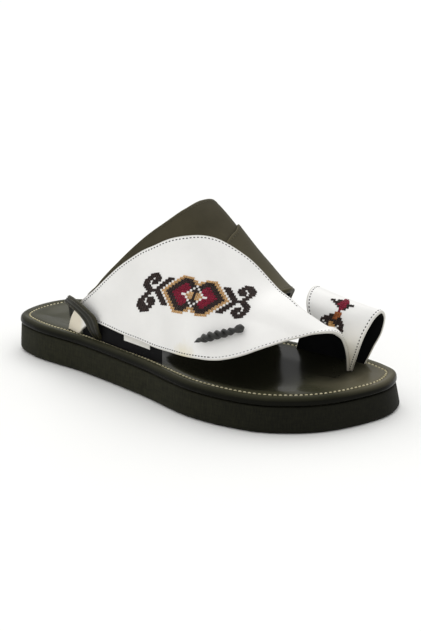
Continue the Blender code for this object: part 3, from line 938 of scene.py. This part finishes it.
# %% [markdown]
# ## Keeper loop
# A folded strip of olive leather stands on the footbed by the heel, leans back over the leaf's tail and
# holds it down. Two rows of stitches draw it into three soft ridges, and the sheet's wall swells and thins
# across it to follow them.

# %% Keeper loop
LOOP_WALL = 2.2
LOOP_SOFT = 0.8
LOOP_RIDGE = 0.8
LOOP_RIDGES = 3
LOOP_ROWS = 120
LOOP_COLUMNS = 25

# Outer base over the leaf's tail to inner base: rear edge, then front edge, as for the ring.
LOOP = (
    (-54.0, -27.6, 0.0, -46.5, -28.4, 0.0),
    (-54.5, -32.6, 6.5, -44.8, -33.8, 9.0),
    (-58.0, -33.6, 12.5, -46.5, -35.0, 17.0),
    (-65.0, -32.8, 17.0, -55.5, -34.6, 22.5),
    (-75.5, -30.5, 19.5, -67.0, -32.2, 26.0),
    (-82.5, -26.5, 19.5, -76.0, -27.5, 25.2),
    (-84.0, -22.0, 16.0, -75.5, -22.0, 20.5),
    (-84.0, -20.6, 8.5, -74.0, -20.8, 9.5),
    (-83.0, -20.4, 0.0, -73.0, -20.8, 0.0),
)
loop_middle = band(LOOP, LOOP_ROWS, LOOP_COLUMNS)
across = np.linspace(0.0, 1.0, LOOP_COLUMNS)
ridges = LOOP_WALL - LOOP_RIDGE + LOOP_RIDGE * np.abs(np.sin(LOOP_RIDGES * np.pi * across))
make_sheet("keeper_loop_leather", loop_middle, ridges[None, :], LOOP_SOFT, (loop_hide,) * 3,
           "keeper_loop")

# %% [markdown]
# ## Twisted thong
# A dark strip, pointed at one end and rounded to a bead at the other, was twisted tight and sewn flat on
# the leaf. Its section is two round strands side by side, which turn along the strip and give the twist.

# %% Twisted thong
THONG_STAND = 2.9
THONG_TURNS = 3.8
STRAND_SHIFT = 0.46
STRAND_RADIUS = 0.58
THONG_START = (48.0, 0.102)
THONG_END = (74.5, 0.236)
THONG_ROWS = 220
THONG_SIDES = 40

# Share of the thong's length, radius, how far the two strands show.
THONG_PROFILE = (
    (0.00, 0.3, 0.60),
    (0.12, 1.7, 0.60),
    (0.24, 2.9, 0.75),
    (0.42, 2.8, 0.75),
    (0.70, 2.5, 0.75),
    (0.82, 2.0, 0.40),
    (0.90, 2.6, 0.10),
    (0.96, 2.3, 0.00),
    (1.00, 0.5, 0.00),
)
profile = np.array(THONG_PROFILE)
t = np.linspace(0.0, 1.0, THONG_ROWS)
radius, depth = (curve(t, profile[:, 0], profile[:, k])[:, None] for k in (1, 2))
x, girth = (THONG_START[k] + (THONG_END[k] - THONG_START[k]) * t for k in (0, 1))
stand = np.full(THONG_ROWS, OLIVE_WALL + LAYER_GAP + WHITE_WALL + GAP + THONG_STAND)
axis = last_point(x, girth, stand)
forward = unit(np.gradient(axis, axis=0))
out = last_point(x, girth, stand + 1.0) - axis
side = np.cross(forward, out)
angle = np.linspace(0.0, 2 * np.pi, THONG_SIDES, endpoint=False)[None, :]
turn = angle - 2 * np.pi * THONG_TURNS * t[:, None]
strand = STRAND_RADIUS ** 2 - (STRAND_SHIFT * np.sin(turn)) ** 2
lobes = STRAND_SHIFT * np.abs(np.cos(turn)) + np.sqrt(strand)
reach = radius * (1 + (lobes - 1) * depth)
spread = np.cos(angle)[..., None] * out[:, None] + np.sin(angle)[..., None] * side[:, None]
rings = axis[:, None] + reach[..., None] * spread
points, faces = stacked_rings(list(rings))
make_piece("twisted_thong_leather", points, faces, (thong_hide,), [0] * len(faces),
           "twisted_thong")

# %% [markdown]
# ## Label
# A short blank tape is sewn to the strap's wall, low on the outer side, half hidden by the leaf.

# %% Label
LABEL_WALL = 0.3
LABEL_X = (-22.0, 3.0)
LABEL_GIRTH = (0.0135, 0.026)
LABEL_ROWS = 40
LABEL_COLUMNS = 12

x = np.linspace(*LABEL_X, LABEL_ROWS)[:, None]
girth = np.linspace(*LABEL_GIRTH, LABEL_COLUMNS)[None, :]
label_middle = last_point(x, girth, np.array(OLIVE_WALL + SHADE_FLAP_WALL + LABEL_WALL / 2))
make_sheet("label_tape", label_middle, LABEL_WALL, THIN_SOFT, (tape,) * 3, "label_tab",
           level_ends=False)

# %% [markdown]
# ## Stitches
# Each edge is sewn with a running stitch. A Geometry Nodes tree does this for any path: it spaces points
# along the path, lays one short thread on each, turned along the path and square to the leather, and
# makes the copies real. A path is a line of points that carries the direction away from the leather. The
# parts that this tree shares with the one for cross-stitch, further down, are small functions.

# %% Parts of a stitch tree
def named_inputs(tree, sockets):
    for name, kind in sockets:
        tree.interface.new_socket(name, in_out="INPUT", socket_type="NodeSocket" + kind)
    tree.interface.new_socket("Sewn", in_out="OUTPUT", socket_type="NodeSocketGeometry")
    return add(tree, "NodeGroupInput").outputs


def carried(tree, name):
    """A direction or size that the points carry."""
    return add(tree, "GeometryNodeInputNamedAttribute", {"Name": name}, data_type="FLOAT_VECTOR").outputs[0]


def stood_on_leather(tree, along):
    """A rotation with its x along the thread and its z away from the leather."""
    aimed = add(tree, "FunctionNodeAlignRotationToVector", {"Vector": along}, axis="X").outputs[0]
    sockets = {"Rotation": aimed, "Vector": carried(tree, "away")}
    return add(tree, "FunctionNodeAlignRotationToVector", sockets, axis="Z", pivot_axis="X").outputs[0]


def chance(tree, seed, most):
    """A random number between minus most and most."""
    sockets = {2: -most, 3: most, "Seed": seed}
    return add(tree, "FunctionNodeRandomValue", sockets, data_type="FLOAT").outputs[1]


def turn_on_leather(tree, rotation, angle):
    twist = add(tree, "FunctionNodeAxisAngleToRotation", {"Axis": (0.0, 0.0, 1.0), "Angle": angle}).outputs[0]
    sockets = {"Rotation": rotation, "Rotate By": twist}
    return add(tree, "FunctionNodeRotateRotation", sockets, rotation_space="LOCAL").outputs[0]


def short_thread(tree, size):
    grain = add(tree, "GeometryNodeMeshUVSphere", {"Segments": 8, "Rings": 6, "Radius": 0.5})
    return add(tree, "GeometryNodeTransform", {"Geometry": grain.outputs[0], "Scale": size}).outputs[0]


def make_real(tree, laid, material):
    """Turns the copies into plain mesh in their thread."""
    smooth = add(tree, "GeometryNodeSetShadeSmooth", {"Geometry": laid})
    real = add(tree, "GeometryNodeRealizeInstances", {"Geometry": smooth.outputs[0]})
    sewn = add(tree, "GeometryNodeSetMaterial", {"Geometry": real.outputs[0], "Material": material})
    add(tree, "NodeGroupOutput", {"Sewn": sewn.outputs[0]})


print("stitch parts ready")

# %% Running stitch tree
STITCH_WANDER = 0.07

running = bpy.data.node_groups.new("running_stitch", "GeometryNodeTree")
given = named_inputs(running, (("Path", "Geometry"), ("Pitch", "Float"), ("Stitch Size", "Vector"),
                               ("Slant", "Float"), ("Seed", "Int"), ("Thread", "Material")))
line = add(running, "GeometryNodeMeshToCurve", {"Mesh": given["Path"]}).outputs[0]
spaced = add(running, "GeometryNodeResampleCurve", {"Curve": line, "Length": given["Pitch"]}, mode="LENGTH")
stood = stood_on_leather(running, add(running, "GeometryNodeInputTangent").outputs[0])
lean = reckon(running, "ADD", given["Slant"], chance(running, given["Seed"], STITCH_WANDER))
turned = turn_on_leather(running, stood, lean)
bar = short_thread(running, given["Stitch Size"])
laid = add(running, "GeometryNodeInstanceOnPoints",
           {"Points": spaced.outputs[0], "Instance": bar, "Rotation": turned})
make_real(running, laid.outputs[0], given["Thread"])
print("running stitch tree:", len(running.nodes), "nodes")

# %% Sewing helper
def sew(name, tree, points, edges, vectors, **inputs):
    """Runs a stitch tree on a path or on loose points, and keeps the result as a plain mesh."""
    mesh = bpy.data.meshes.new(name + "_path")
    mesh.from_pydata((np.asarray(points) * MM).tolist(), edges, [])
    for label, values in vectors.items():
        held = mesh.attributes.new(label, "FLOAT_VECTOR", "POINT")
        held.data.foreach_set("vector", np.asarray(values, np.float32).ravel())
    path = bpy.data.objects.new(name + "_path", mesh)
    bpy.context.scene.collection.objects.link(path)
    modifier = path.modifiers.new("sewing", "NODES")
    modifier.node_group = tree
    for item in tree.interface.items_tree:
        key = item.name.lower().replace(" ", "_")
        if item.in_out == "INPUT" and key in inputs:
            modifier[item.identifier] = inputs[key]
    sewn = bpy.data.meshes.new_from_object(path.evaluated_get(bpy.context.evaluated_depsgraph_get()))
    sewn.name = name
    bpy.data.objects.remove(path)
    for label in list(vectors):
        if label in sewn.attributes:
            sewn.attributes.remove(sewn.attributes[label])
    piece = bpy.data.objects.new(name, sewn)
    bpy.context.scene.collection.objects.link(piece)
    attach(piece, "root")
    print(name, len(sewn.polygons), "faces")
    return piece


def edge_path(middle, wall, side, margin, first, last):
    """A line on a sheet's outer face, at an even margin from its first column, 0, or its last, -1."""
    rows = slice(int(first * len(middle)), int(last * len(middle)))
    normal = grid_normals(middle)
    face = (middle + normal * wall / 2)[rows]
    normal = normal[rows]
    if side == -1:
        face, normal = face[:, ::-1], normal[:, ::-1]

    def at_margin(values):
        return np.array([[np.interp(margin, run_along(row), held[:, k]) for k in range(3)]
                         for row, held in zip(face, values)])

    return at_margin(face), unit(at_margin(normal))


def join_paths(paths, closed=False):
    points, away, edges = [], [], []
    for at, up in paths:
        base = sum(len(item) for item in points)
        edges += [(base + i, base + i + 1) for i in range(len(at) - 1)]
        if closed:
            edges.append((base + len(at) - 1, base))
        points.append(at)
        away.append(up)
    return np.vstack(points), edges, {"away": np.vstack(away)}


print("ready to sew")

# %% Edge stitches
# The leaf's front edge is sewn in a finer, greyer thread than the rest of the white leather.
WHITE_PITCH = 2.3 * MM
WHITE_STITCH = (1.4 * MM, 0.75 * MM, 0.45 * MM)
FINE_STITCH = (1.2 * MM, 0.5 * MM, 0.35 * MM)
OLIVE_PITCH = 2.6 * MM
OLIVE_STITCH = (1.9 * MM, 0.65 * MM, 0.45 * MM)
EDGE_MARGIN = 2.0
STRAP_MARGIN = 2.4
OVERLAY_MARGIN = 2.2
TAIL_END = 0.095
FRONT_START = 0.52

paths = [edge_path(leaf_middle, WHITE_WALL, 0, EDGE_MARGIN, TAIL_END, 0.68),
         edge_path(leaf_middle, WHITE_WALL, -1, EDGE_MARGIN, TAIL_END, FRONT_START),
         edge_path(ring_middle, WHITE_WALL, 0, EDGE_MARGIN, 0.34, 0.97),
         edge_path(ring_middle, WHITE_WALL, -1, EDGE_MARGIN, 0.03, 0.97)]
sew("white_edge_stitches", running, *join_paths(paths),
    pitch=WHITE_PITCH, stitch_size=WHITE_STITCH, slant=0.0, seed=3, thread=slate_thread)

paths = [edge_path(leaf_middle, WHITE_WALL, -1, EDGE_MARGIN, FRONT_START, 0.97)]
sew("leaf_front_stitches", running, *join_paths(paths),
    pitch=WHITE_PITCH, stitch_size=FINE_STITCH, slant=0.0, seed=4, thread=grey_thread)

paths = [edge_path(strap_middle, OLIVE_WALL, 0, STRAP_MARGIN, 0.04, 0.97),
         edge_path(overlay_middle, OVERLAY_STEP, 0, OVERLAY_MARGIN, 0.06, 0.98),
         edge_path(overlay_middle, OVERLAY_STEP, -1, STRAP_MARGIN, 0.06, 0.98),
         edge_path(loop_middle, LOOP_WALL, 0, EDGE_MARGIN, 0.05, 0.95),
         edge_path(loop_middle, LOOP_WALL, -1, EDGE_MARGIN, 0.05, 0.95)]
sew("olive_edge_stitches", running, *join_paths(paths),
    pitch=OLIVE_PITCH, stitch_size=OLIVE_STITCH, slant=0.0, seed=5, thread=olive_thread)

# %% Footbed stitches
# Straw stitches rise out of needle holes; a second line of short dark marks runs between them as painted
# shade in the holes.
BED_PITCH = 3.1
BED_STITCH = (2.2 * MM, 1.5 * MM, 1.2 * MM)
BED_HOLE_SHADE = (1.2 * MM, 1.6 * MM, 0.9 * MM)
BED_SLANT = 0.25
GROOVE_INSET = 6.5
GROOVE_HEIGHT = 4.5
THREAD_RISE = 0.4

groove = inset(outline, GROOVE_INSET)
at = np.column_stack([groove, seam_height(groove[:, 0]) + GAP / 2 + GROOVE_HEIGHT + THREAD_RISE])
up = np.tile((0.0, 0.0, 1.0), (len(at), 1))
sew("footbed_stitches", running, *join_paths([(at, up)], closed=True),
    pitch=BED_PITCH * MM, stitch_size=BED_STITCH, slant=BED_SLANT, seed=7, thread=straw_thread)
run = run_along(at)
shifted = np.sort((run + BED_PITCH / 2) % run[-1])
between = np.column_stack([np.interp(shifted, run, at[:, k]) for k in range(3)])
sew("footbed_needle_holes", running, *join_paths([(between, up)], closed=True),
    pitch=BED_PITCH * MM, stitch_size=BED_HOLE_SHADE, slant=0.0, seed=8, thread=slate_thread)

# %% [markdown]
# ## Cross-stitch
# The ornament is counted cross-stitch: a hexagon pair with a diamond at its heart and a pair of scrolls
# at each end. It is the same mirrored left to right and top to bottom, so one quarter is charted, a letter
# for each cross: b brown, r crimson, t tan, a dot for bare leather. The flat chart is laid on the curved
# leaf by nine guide points, as a sewer marks the leather before the work is pinned on, and a smooth
# surface runs through them.

# %% Chart
QUARTER_CHART = (
    "...bbbb...........ttttt...",
    "..bbbbbb.........ttbbbbtt.",
    ".bbbb.bbb...bbb.ttbbbbbbtt",
    ".bbb.bbbb..bbb.ttbbbrrbbb.",
    ".bbb.bbb..bbb.ttbbbrrrrb.b",
    "..bbb....bbb.ttbbbrrrrr.bb",
    "...bbb..bbb.ttbbbrrrrr.ttb",
    "....bbbbbb.ttbbbrrrr..tttb",
)


def lettered(chart, letter):
    """Columns from the left and rows from the foot of a chart's crosses in that letter."""
    return [(column, len(chart) - 1 - row) for row, line in enumerate(chart)
            for column, mark in enumerate(line) if mark == letter]


def chart_crosses(letter):
    """Columns and rows of that letter's crosses, counted from the ornament's centre."""
    found = set()
    for column, v in lettered(QUARTER_CHART, letter):
        u = column - len(QUARTER_CHART[0]) + 1
        found |= {(u, v), (-u, v), (u, -v), (-u, -v)}
    return np.array(sorted(found), float)


def through_guide(guide, u, v):
    """Smooth surface values at chart places, through a guide of three rows and three columns."""
    columns = np.array([place for place, _ in guide[0][1]])
    rows = np.array([row for row, _ in guide])
    values = np.array([[value for _, value in line] for _, line in guide])

    def weights(at, knots):
        shares = []
        for k in range(3):
            p, q = knots[(k + 1) % 3], knots[(k + 2) % 3]
            shares.append((at - p) * (at - q) / ((knots[k] - p) * (knots[k] - q)))
        return np.stack(shares)

    return np.einsum("rn,cn,rck->nk", weights(v, rows), weights(u, columns), values)


def lay_on(surface, guide, crosses):
    """Places of the crosses on a surface, with their directions and the size of their cells."""
    u, v = crosses.T
    small = 0.05

    def at(du, dv):
        return surface(*through_guide(guide, u + du, v + dv).T)

    along = unit(at(small, 0) - at(-small, 0))
    up = unit(at(0, small) - at(0, -small))
    wide, high = (np.linalg.norm(at(du, dv) - at(-du, -dv), axis=1) for du, dv in ((0.5, 0), (0, 0.5)))
    cell = np.column_stack([wide, high, np.ones(len(u))])
    return at(0, 0), {"along": along, "away": unit(np.cross(along, up)), "cell": cell}


def leaf_face(x, girth):
    return last_point(x, girth, leaf_stand(x, girth) + WHITE_WALL)


print("crosses in the ornament:", sum(len(chart_crosses(letter)) for letter in "brt"))

# %% Cross-stitch tree
CROSS_WANDER = 0.12
OVER_RISE = 0.22
ARM_ANGLE = math.radians(45)

crossing = bpy.data.node_groups.new("cross_stitch", "GeometryNodeTree")
given = named_inputs(crossing, (("Places", "Geometry"), ("Arm Size", "Vector"), ("Seed", "Int"),
                                ("Thread", "Material")))
arm = short_thread(crossing, given["Arm Size"])
under = add(crossing, "GeometryNodeTransform", {"Geometry": arm, "Rotation": (0.0, 0.0, -ARM_ANGLE)})
over = add(crossing, "GeometryNodeTransform", {"Geometry": arm, "Rotation": (0.0, 0.0, ARM_ANGLE),
                                               "Translation": (0.0, 0.0, OVER_RISE * MM)})
cross = add(crossing, "GeometryNodeJoinGeometry")
crossing.links.new(under.outputs[0], cross.inputs[0])
crossing.links.new(over.outputs[0], cross.inputs[0])
points_in = add(crossing, "GeometryNodeMeshToPoints", {"Mesh": given["Places"]})
stood = stood_on_leather(crossing, carried(crossing, "along"))
turned = turn_on_leather(crossing, stood, chance(crossing, given["Seed"], CROSS_WANDER))
laid = add(crossing, "GeometryNodeInstanceOnPoints",
           {"Points": points_in.outputs[0], "Instance": cross.outputs[0], "Rotation": turned,
            "Scale": carried(crossing, "cell")})
make_real(crossing, laid.outputs[0], given["Thread"])
print("cross-stitch tree:", len(crossing.nodes), "nodes")

# %% Leaf ornament
# An arm for a cell of 1 mm; each cross is stretched to its own cell. Tan is sewn with a thinner thread.
CROSS_ARM = (1.5 * MM, 0.78 * MM, 0.6 * MM)
TAN_ARM = (1.4 * MM, 0.6 * MM, 0.6 * MM)

# Chart row, then for three chart columns the place on the last as x and girth share.
LEAF_GUIDE = (
    (8, ((-26, (-3.9, 0.155)), (0, (36.2, 0.270)), (26, (62.3, 0.438)))),
    (0, ((-26, (-8.6, 0.112)), (0, (37.0, 0.210)), (26, (67.5, 0.370)))),
    (-8, ((-26, (-13.8, 0.0665)), (0, (37.2, 0.148)), (26, (72.2, 0.300)))),
)
# Letter, thread, its name, size of an arm.
LEAF_COTTONS = (
    ("b", brown_cotton, "brown", CROSS_ARM),
    ("r", crimson_cotton, "crimson", CROSS_ARM),
    ("t", tan_cotton, "tan", TAN_ARM),
)
for letter, cotton, word, arm_size in LEAF_COTTONS:
    at, directions = lay_on(leaf_face, LEAF_GUIDE, chart_crosses(letter))
    sew("leaf_ornament_" + word, crossing, at, [], directions, arm_size=arm_size, seed=11, thread=cotton)

# %% [markdown]
# ## Ring ornament
# The toe ring carries a small flower with a crimson bud on a rust stem, in the same counted stitch. It has
# no mirror, so its chart is written out whole, and its guide lies on the band: millimetres along it from
# the cleft, and the share across it from the rear edge to the front.

# %% Ring ornament
RING_CHART = (
    ".........rr..",
    "...bb.bbrrr..",
    "....bbbrrrr..",
    ".....brrrrbbb",
    "......brrrb..",
    ".......rrb...",
    ".......r.....",
    "......ooo....",
    "....bbooo....",
    "..bbbboobb...",
    ".bbbbbbbbbb..",
    ".b.bbttbbbbb.",
    ".bb.btttb.bb.",
    "..bbbttt.bbb.",
    "..bbbtt.bbbb.",
    "...bbbbbbb...",
    ".....bbbbb...",
)
RING_CHART_FOOT = -4

# Chart row, then for three chart columns the place on the ring.
RING_GUIDE = (
    (11, ((-6, (51.4, 0.254)), (0, (53.0, 0.431)), (6, (54.6, 0.606)))),
    (4, ((-6, (43.2, 0.238)), (0, (43.4, 0.444)), (6, (43.5, 0.652)))),
    (-4, ((-6, (32.8, -0.002)), (0, (31.2, 0.230)), (6, (29.7, 0.467)))),
)


def ring_face(along, across):
    small = 0.01
    wide = band_point(RING, along, across + small) - band_point(RING, along, across - small)
    far = band_point(RING, along + small, across) - band_point(RING, along - small, across)
    return band_point(RING, along, across) + unit(np.cross(wide, far)) * WHITE_WALL / 2


# Letter, thread, its name.
RING_COTTONS = (
    ("b", brown_cotton, "brown"),
    ("r", crimson_cotton, "crimson"),
    ("t", tan_cotton, "tan"),
    ("o", rust_cotton, "rust"),
)
foot = (-(len(RING_CHART[0]) // 2), RING_CHART_FOOT)
for letter, cotton, word in RING_COTTONS:
    at, directions = lay_on(ring_face, RING_GUIDE, np.array(lettered(RING_CHART, letter), float) + foot)
    sew("ring_ornament_" + word, crossing, at, [], directions, arm_size=CROSS_ARM, seed=13, thread=cotton)
